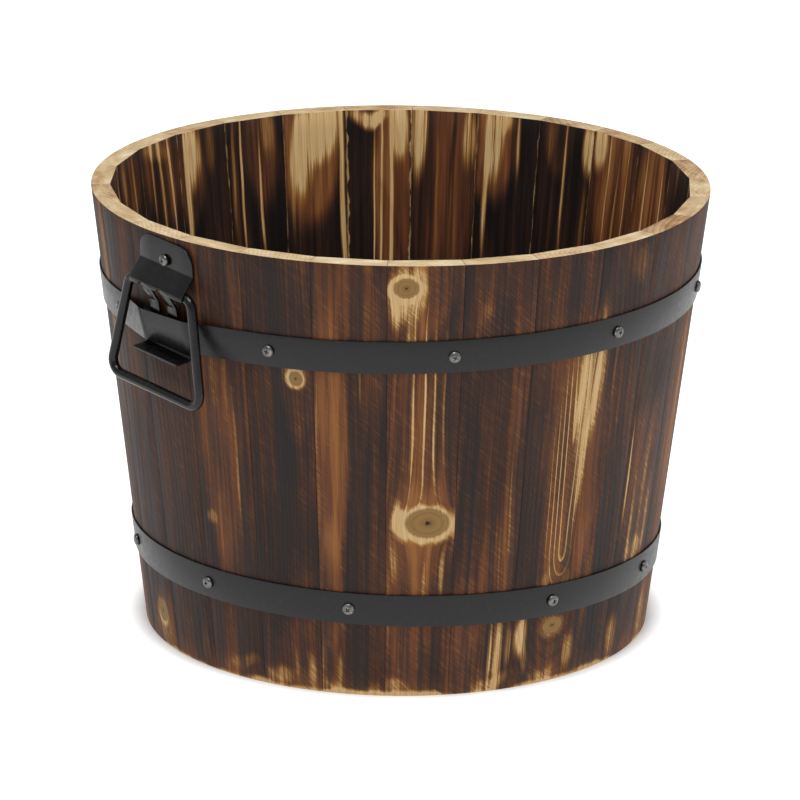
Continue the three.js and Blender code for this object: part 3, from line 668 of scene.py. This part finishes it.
def makeHoop(level):
    hoop = hoops[level]
    lapHalf = math.degrees(strap["lap"] / 2 / wallRadius(hoop["height"]))
    start = hoop["lapScrew"] - lapHalf
    span = 360 + 2 * lapHalf
    steps = round(span / strap["step"])
    halfWidth, thick = strap["width"] / 2 * math.cos(taper), strap["thickness"]
    bm = bmesh.new()
    # the flat strip: X counts degrees, Y is out from the wall, Z is up
    corners = [(0, 0, -halfWidth), (0, thick, -halfWidth), (0, thick, halfWidth), (0, 0, halfWidth)]
    section = bm.faces.new([bm.verts.new(c) for c in corners])
    bevel(bm, list(section.verts), strap["corner"], "VERTICES")
    bmesh.ops.spin(bm, geom=[*bm.faces, *bm.edges, *bm.verts], cent=(0, 0, 0), axis=(0, 0, 1), angle=0,
                   dvec=(span / steps, 0, 0), steps=steps)
    bmesh.ops.remove_doubles(bm, verts=bm.verts, dist=1e-7)
    riseAt, riseOver = strap["lapRise"]
    for vert in bm.verts:  # wrapped round the barrel
        azimuth = start + vert.co.x
        z = hoopMiddle(hoop, azimuth) + vert.co.z
        climb = min(max((vert.co.x - riseAt) / riseOver, 0), 1)
        lift = (thick + strap["stand"]) * climb * climb * (3 - 2 * climb)
        uneven = strap["uneven"] * noise.noise((azimuth * 0.09, 0, z * 40))
        radius = strapRadius(hoop, azimuth, z) + vert.co.y + lift + uneven
        vert.co = compass(azimuth) * radius + Vector((0, 0, z))
    addPiece(f"steel_hoop_{level}", bm, satin, "barrel", f"{level}_hoop")


for level in hoops:
    makeHoop(level)
print("hoops made")

# ---- screws ----

screw = {
    "head": 0.0037,
    "headHeight": 0.0023,
    "shank": 0.00175,
    "length": 0.012,
    "point": 0.004,
    "seat": 0.0002,
    "slotLength": 0.0042,
    "slotWidth": 0.00095,
    "slotDepth": 0.0014,
}


# one pan-head screw along Z with its seat at 0, the cross recess cut in
def makeScrewMesh():
    head, high = screw["head"], screw["headHeight"]
    profile = [(0, -screw["length"]), (screw["shank"], -screw["length"] + screw["point"]), (screw["shank"], 0),
               (head * 0.97, 0), (head, high * 0.08), (head, high * 0.34), (head * 0.965, high * 0.52),
               (head * 0.87, high * 0.70), (head * 0.68, high * 0.87), (head * 0.4, high * 0.97), (0, high)]
    bm = bmesh.new()
    line = [bm.verts.new((r, 0, z)) for r, z in profile]
    edges = [bm.edges.new(pair) for pair in zip(line, line[1:])]
    bmesh.ops.spin(bm, geom=[*line, *edges], cent=(0, 0, 0), axis=(0, 0, 1), angle=2 * math.pi, steps=32,
                   use_merge=True)
    bmesh.ops.remove_doubles(bm, verts=bm.verts, dist=1e-6)
    bmesh.ops.recalc_face_normals(bm, faces=bm.faces)
    body = newObject("screw_body", meshFrom(bm, "screw_body"))
    cutters = []
    for turn in (0, math.pi / 2):
        bm = bmesh.new()
        made = bmesh.ops.create_cube(bm, size=1)
        bmesh.ops.scale(bm, verts=made["verts"], vec=(screw["slotLength"], screw["slotWidth"], 2 * screw["slotDepth"]))
        bmesh.ops.translate(bm, verts=made["verts"], vec=(0, 0, high))
        for vert in bm.verts:  # the arms run in towards the recess's point
            if vert.co.z < high:
                vert.co.xy *= 0.45
        bmesh.ops.rotate(bm, verts=bm.verts, cent=(0, 0, 0), matrix=Matrix.Rotation(turn, 3, "Z"))
        cutters.append(newObject("screw_slot", meshFrom(bm, "screw_slot")))
    for cutter in cutters:
        cut = body.modifiers.new("recess", "BOOLEAN")
        cut.operation, cut.object, cut.solver = "DIFFERENCE", cutter, "EXACT"
    bpy.context.view_layer.update()
    mesh = bpy.data.meshes.new_from_object(body.evaluated_get(bpy.context.evaluated_depsgraph_get()))
    for item in (body, *cutters):
        bpy.data.objects.remove(item)
    return mesh


screwMesh = makeScrewMesh()


def onWall(azimuth, z, standOff):
    outward = compass(azimuth) * math.cos(taper) - Vector((0, 0, math.sin(taper)))
    side = Vector((0, 0, 1)).cross(compass(azimuth))
    upward = outward.cross(side)
    place = compass(azimuth) * wallRadius(z) + Vector((0, 0, z)) + outward * standOff
    return Matrix.Translation(place) @ Matrix((side, upward, outward)).transposed().to_4x4()


def placeScrew(name, place, turn, node):
    bm = bmesh.new()
    bm.from_mesh(screwMesh)
    bmesh.ops.transform(bm, verts=bm.verts, matrix=place @ Matrix.Rotation(math.radians(turn), 4, "Z"))
    addPiece(name, bm, oxide, "barrel", node, smoothAngle=40)


turns = random.Random(5)
for level, hoop in hoops.items():
    for i, azimuth in enumerate(hoop["screws"], 1):
        lifted = strap["thickness"] + strap["stand"] if azimuth == hoop["lapScrew"] else 0
        stand = strap["stand"] + strap["thickness"] + lifted + screw["seat"]
        place = onWall(azimuth, hoopMiddle(hoop, azimuth), stand)
        placeScrew(f"pan_screw_{level}_{i}", place, turns.uniform(0, 90), f"{level}_hoop_screw_{i}")
print("screws made")

# ---- handles ----

# a handle's own frame has X away from the barrel, Y across the plate and Z up
barRadius = wallRadius(ring["barHeight"]) + ring["barOff"]
knuckleRadius = ring["wire"] + ring["fit"] + plate["thickness"] / 2


def handleFrame(handle):
    turn = Matrix.Rotation(math.radians(handle["azimuth"] - 90), 4, "Z")
    tilt = Matrix.Rotation(-math.radians(handle["tilt"]), 4, "X")
    return turn @ Matrix.Translation((0, 0, ring["barHeight"])) @ tilt @ Matrix.Translation((0, 0, -ring["barHeight"]))


# the plate's middle line from the ear's top to the leaf's end, and how far down it each bend comes
def plateLine():
    def onPlate(z, gap):
        return Vector((wallRadius(z) + (gap + plate["thickness"] / 2) / math.cos(taper), z))

    def onCurve(angle):
        return bar + Vector((math.cos(angle), math.sin(angle))) * knuckleRadius

    bar = Vector((barRadius, ring["barHeight"]))
    crease = onPlate(ring["barHeight"] + plate["creaseAboveBar"], plate["fit"])
    toBar = bar - crease
    rampAngle = math.atan2(toBar.y, toBar.x) + math.asin(knuckleRadius / toBar.length)
    touch = rampAngle + math.pi / 2
    lip, leaving = math.radians(plate["lip"]), math.radians(plate["leaving"])
    fingerStart = onCurve(leaving)
    heading = Vector((math.sin(leaving), -math.cos(leaving)))
    leafSlope = math.tan(taper) + plate["leafLean"] / math.cos(taper)
    offLeaf = fingerStart.x - onPlate(fingerStart.y, leafGap(fingerStart.y)).x
    fingerEnd = fingerStart + heading * (offLeaf / (leafSlope * heading.y - heading.x))
    line = [onPlate(ring["barHeight"] + plate["earAboveBar"], plate["fit"]), crease]
    line += [onCurve(touch + (lip - touch) * i / 12) for i in range(13)]
    lipAt = len(line) - 1
    line += [onCurve(lip + (leaving - lip) * i / 4) for i in range(1, 5)]
    line += [fingerEnd, onPlate(plate["leafTop"], plate["leafOff"])]
    leafAt = len(line) - 1
    flare = onPlate(plate["flareTop"], leafGap(plate["flareTop"]))
    line += [flare, flare + Vector((plate["flareReach"], -plate["flareDrop"]))]
    return line, lipAt, leafAt


def roundedLine(line, sharpAt, radius, steps):
    out = []
    for i, point in enumerate(line):
        if i not in sharpAt:
            out.append((point, i))
            continue
        back, on = (line[i - 1] - point).normalized(), (line[i + 1] - point).normalized()
        reach = min(radius / math.tan(back.angle(on) / 2), (line[i - 1] - point).length * 0.45,
                    (line[i + 1] - point).length * 0.45)
        for k in range(steps + 1):
            t = k / steps
            a, b = point + back * reach, point + on * reach
            out.append((a * (1 - t) ** 2 + point * 2 * t * (1 - t) + b * t ** 2, i))
    return out


# stamped from sheet: the flat blank is cut to outline, then bent down the line
def makeBracket(side):
    line, lipAt, leafAt = plateLine()
    creases = [1, lipAt + 5, leafAt + 1]
    path = roundedLine(line, creases, plate["creaseRadius"], 5)
    runs = [0.0]
    for (a, _), (b, _) in zip(path, path[1:]):
        runs.append(runs[-1] + (b - a).length)
    lipRun = next(r for r, (_, i) in zip(runs, path) if i == lipAt)
    leafRun = next(r for r, (_, i) in zip(runs, path) if i == leafAt)
    total = runs[-1]
    half, leafHalf = plate["earHalf"], plate["leafHalf"]
    middles = (-plate["fingerSpacing"] / 2, plate["fingerSpacing"] / 2)
    bm = bmesh.new()

    def sheet(low, high, start, end, notches=()):
        corners = [(low, start, 0), (high, start, 0), (high, end, 0)]
        for edge in notches:
            middle = edge - plate["notchBeside"]
            first = math.acos(plate["notchBeside"] / plate["notch"])
            corners.append((edge, end, 0))
            for turn in (first + (math.pi - first) * k / 8 for k in range(9)):
                corners.append((middle + plate["notch"] * math.cos(turn), end - plate["notch"] * math.sin(turn), 0))
        return bm.faces.new([bm.verts.new(c) for c in (*corners, (low, end, 0))])

    ear = sheet(-half, half, 0, lipRun, [middle - plate["fingerWidth"] / 2 for middle in reversed(middles)])
    leaf = sheet(-leafHalf, leafHalf, leafRun, total)
    for middle in middles:
        sheet(middle - plate["fingerWidth"] / 2, middle + plate["fingerWidth"] / 2, lipRun, leafRun)
    for face, corner, size in ((ear, 0, plate["earCorner"]), (leaf, total, plate["leafCorner"])):
        bevel(bm, [v for v in face.verts if abs(v.co.y - corner) < 1e-6], size, "VERTICES", 8)
    # the fingers' edges are carried on into the ear and the leaf, so that they join, and every bend gets its cuts
    cuts = [((middle + sign * plate["fingerWidth"] / 2, 0, 0), (1, 0, 0)) for middle in middles for sign in (-1, 1)]
    cuts += [((0, run, 0), (0, 1, 0)) for run in runs[1:-1]]
    for place, normal in cuts:
        bmesh.ops.bisect_plane(bm, geom=[*bm.verts, *bm.edges, *bm.faces], plane_co=place, plane_no=normal)
    bmesh.ops.remove_doubles(bm, verts=bm.verts, dist=1e-6)

    def bend(run):
        for k in range(len(path) - 1):
            if run <= runs[k + 1] + 1e-9 or k == len(path) - 2:
                t = (run - runs[k]) / (runs[k + 1] - runs[k])
                return path[k][0].lerp(path[k + 1][0], t)

    for vert in bm.verts:
        point = bend(vert.co.y)
        vert.co = (point.x, vert.co.x, point.y)
    bmesh.ops.recalc_face_normals(bm, faces=bm.faces)
    if sum(f.normal.x for f in bm.faces) < 0:
        bmesh.ops.reverse_faces(bm, faces=bm.faces)
    bmesh.ops.solidify(bm, geom=list(bm.faces), thickness=plate["thickness"])
    bmesh.ops.recalc_face_normals(bm, faces=bm.faces)
    bmesh.ops.transform(bm, verts=bm.verts, matrix=handleFrame(handles[side]))
    bevel(bm, [e for e in bm.edges if e.calc_face_angle(0) > 1.2], plate["edge"])
    addPiece(f"stamped_bracket_{side}", bm, gloss, "barrel", f"{side}_bracket", smoothAngle=50)


# bent from wire: the section is pushed along each straight and spun round each bend
def makeRing(side):
    bm = bmesh.new()
    made = bmesh.ops.create_circle(bm, cap_ends=False, segments=20, radius=ring["wire"])
    top, bottom, drop = ring["topHalf"], ring["bottomHalf"], ring["drop"]
    start = Vector((0, 0, -drop))
    corners = [Vector((0, y, z)) for y, z in ((bottom, -drop), (top, 0), (-top, 0), (-bottom, -drop))]
    line = [start, *corners, start]
    bends = [ring["bottomBend"], ring["topBend"], ring["topBend"], ring["bottomBend"]]
    bmesh.ops.rotate(bm, verts=made["verts"], cent=(0, 0, 0), matrix=Matrix.Rotation(math.pi / 2, 3, "X"))
    bmesh.ops.translate(bm, verts=made["verts"], vec=start)

    def push(loop, vec, steps):
        for _ in range(steps):
            out = bmesh.ops.extrude_edge_only(bm, edges=loop)["geom"]
            bmesh.ops.translate(bm, verts=[g for g in out if isinstance(g, bmesh.types.BMVert)], vec=vec / steps)
            loop = [g for g in out if isinstance(g, bmesh.types.BMEdge)]
        return loop

    loop, at = list(bm.edges), start
    for before, corner, after, bend in zip(line, corners, line[2:], bends):
        back, on = (before - corner).normalized(), (after - corner).normalized()
        half = back.angle(on) / 2
        reach = bend / math.tan(half)
        loop = push(loop, corner + back * reach - at, 6)
        centre = corner + (back + on).normalized() * bend / math.sin(half)
        out = bmesh.ops.spin(bm, geom=loop, cent=centre, axis=(-back).cross(on).normalized(),
                             angle=math.pi - 2 * half, steps=10)
        loop = [g for g in out["geom_last"] if isinstance(g, bmesh.types.BMEdge)]
        at = corner + on * reach
    push(loop, start - at, 3)
    bmesh.ops.remove_doubles(bm, verts=bm.verts, dist=1e-5)
    place = handleFrame(handles[side]) @ Matrix.Translation((barRadius, 0, ring["barHeight"]))
    bmesh.ops.transform(bm, verts=bm.verts, matrix=place)
    addPiece(f"wire_ring_{side}", bm, gloss, f"{side}_handle", f"{side}_ring", smoothAngle=60)


for side, handle in handles.items():
    makeBracket(side)
    makeRing(side)
    earScrew = onWall(90, ring["barHeight"] + plate["screwAboveBar"], plate["fit"] + plate["thickness"] + screw["seat"])
    placeScrew(f"pan_screw_{side}", handleFrame(handle) @ earScrew, 20, f"{side}_bracket_screw")
print("handles made")

# ---- base ----

base = {
    "low": 0.0203,
    "thickness": 0.011,
    "radius": 0.1498,
    "boards": 3,
    "gap": 0.0003,
    "drain": 0.007,
    "edge": 0.0006,
    "shades": (-0.02, 0.07, 0.01),  # how light each board is beside the others
    "streak": (190, 5, 5.5, 3),  # these lie along X
    "fibre": (60, 0.9, 0.9, 2),
    "patch": (125, 33, 33, 2),
    "colours": [(0.34, "#4a3020"), (0.50, "#7d5531"), (0.62, "#a87a49"), (0.76, "#cda872")],
}


# the same fir, planed and left unburnt inside the barrel
def planedFir(board, shade):
    material, tree, surface = newMaterial(f"planed_fir_{board}")
    place = addNode(tree, "TexCoord").outputs["Object"]
    streak, fibre, patch = [grainNoise(tree, place, base[name], board * 4.3) for name in ("streak", "fibre", "patch")]
    tone = addUp(tree, shade, [(streak, 0.55), (fibre, 0.30), (patch, 0.30)])
    colour = addNode(tree, "ValToRGB", {0: tone}, stops=base["colours"])
    finish(surface, colour, 0.68, fibre, 0.0003)
    return material


pitch = 2 * base["radius"] / base["boards"]
for i in range(base["boards"]):
    bm = bmesh.new()
    bmesh.ops.create_circle(bm, cap_ends=True, segments=104, radius=base["radius"])
    middle = (i - 1) * pitch
    for sign in (-1, 1):
        bmesh.ops.bisect_plane(bm, geom=[*bm.verts, *bm.edges, *bm.faces], clear_outer=True,
                               plane_co=(0, middle + sign * (pitch - base["gap"]) / 2, 0), plane_no=(0, sign, 0))
    if i == 1:  # the drain hole: a ring of faces is cut out round the middle
        hole = bmesh.ops.create_circle(bm, cap_ends=False, segments=32, radius=base["drain"])
        holeEdges = [e for e in bm.edges if all(v in hole["verts"] for v in e.verts)]
        outer = [e for e in bm.edges if e not in holeEdges]
        bmesh.ops.delete(bm, geom=list(bm.faces), context="FACES_ONLY")
        bmesh.ops.triangle_fill(bm, edges=outer + holeEdges, use_beauty=True, use_dissolve=False)
        for face in [f for f in bm.faces if f.calc_center_median().length < base["drain"] * 0.9]:
            bm.faces.remove(face)
    lifted = bmesh.ops.extrude_face_region(bm, geom=list(bm.faces))
    bmesh.ops.translate(bm, verts=[g for g in lifted["geom"] if isinstance(g, bmesh.types.BMVert)],
                        vec=(0, 0, base["thickness"]))
    bmesh.ops.recalc_face_normals(bm, faces=bm.faces)
    bevel(bm, [e for e in bm.edges if e.calc_face_angle(0) > 1], base["edge"])
    bmesh.ops.translate(bm, verts=bm.verts, vec=(0, 0, base["low"]))
    boardWood = planedFir(i + 1, base["shades"][i])
    addPiece(f"planed_board_{i + 1}", bm, boardWood, "barrel", f"base_board_{i + 1}")
print("base made")

# ---- camera, floor and light ----

view = {
    "eye": Vector((-2.0913, -2.2757, 1.10721)),
    "target": Vector((0.0007, -0.0007, 0.13716)),
    "roll": 0.655,
    "lens": 234.4,  # a long lens, from about 3.3 m
}
studio = {
    "fill": 0.40,
    "mirrored": 0.45,
    "floorGlow": 0.80,
    "mirrorGlow": 0.5,
    "shadowReach": 0.017,
    "shadowLean": (0.42, 0.46, 0.78),
}

camera = newObject("camera", bpy.data.cameras.new("camera"))
camera.data.lens = view["lens"]
camera.data.sensor_width = 36
camera.data.clip_end = 20
camera.location = view["eye"]
roll = Quaternion((0, 0, 1), math.radians(view["roll"]))
camera.rotation_mode = "QUATERNION"
camera.rotation_quaternion = (view["target"] - view["eye"]).to_track_quat("-Z", "Y") @ roll
scene.camera = camera


def paperFloor():
    material, tree, surface = newMaterial("white_paper")
    path = addNode(tree, "LightPath")
    # painted contact shadow: the camera's glow is taken away close to the foot by the occlusion there, most on the near
    # side, on top of the lamps' own shadow
    paintedShadowOcclusion = addNode(tree, "AmbientOcclusion", {"Distance": studio["shadowReach"], "Normal": studio["shadowLean"]})
    shown = addNode(tree, "MapRange", {0: paintedShadowOcclusion.outputs["AO"], 1: 0.35, 2: 0.95, 3: 0, 4: studio["floorGlow"]})
    glow = addUp(tree, 0.0, [(path.outputs["Is Glossy Ray"], studio["mirrorGlow"]),
                             (path.outputs["Is Camera Ray"], shown)])
    fillInputs(surface, {"Base Color": (0.9, 0.9, 0.9, 1), "Roughness": 0.9, "Specular IOR Level": 0.1,
                         "Emission Color": (1, 1, 1, 1), "Emission Strength": glow})
    return material


bm = bmesh.new()
bmesh.ops.create_circle(bm, cap_ends=True, segments=96, radius=5)
floor = newObject("floor", meshFrom(bm, "floor"))
floor.data.materials.append(paperFloor())

world = bpy.data.worlds.new("studio")
scene.world = world
world.use_nodes = True
sky = world.node_tree
sky.nodes.clear()
path = addNode(sky, "LightPath")
seen = addNode(sky, "Math", {0: path.outputs["Is Camera Ray"], 1: path.outputs["Is Transmission Ray"]},
               operation="MAXIMUM")
strength = addNode(sky, "MapRange", {0: path.outputs["Is Glossy Ray"], 3: studio["fill"], 4: studio["mirrored"]})
strength = addNode(sky, "Mix", {0: seen, 2: strength, 3: 1.0})
backdrop = addNode(sky, "Background", {"Color": (1, 1, 1, 1), "Strength": strength})
addNode(sky, "OutputWorld", {"Surface": backdrop})


def addSoftbox(name, place, size, power, aim=(0, 0, 0.14)):
    lamp = bpy.data.lights.new(name, "AREA")
    lamp.shape, lamp.size, lamp.energy = "DISK", size, power
    holder = newObject(name, lamp)
    holder.location = place
    holder.rotation_euler = (Vector(aim) - Vector(place)).to_track_quat("-Z", "Y").to_euler()


addSoftbox("key", (-0.7, -0.55, 2.4), 1.3, 30)
addSoftbox("right_fill", (1.4, -1.9, 1.2), 1.4, 7)
scene.view_settings.view_transform = "Standard"
print("studio ready")
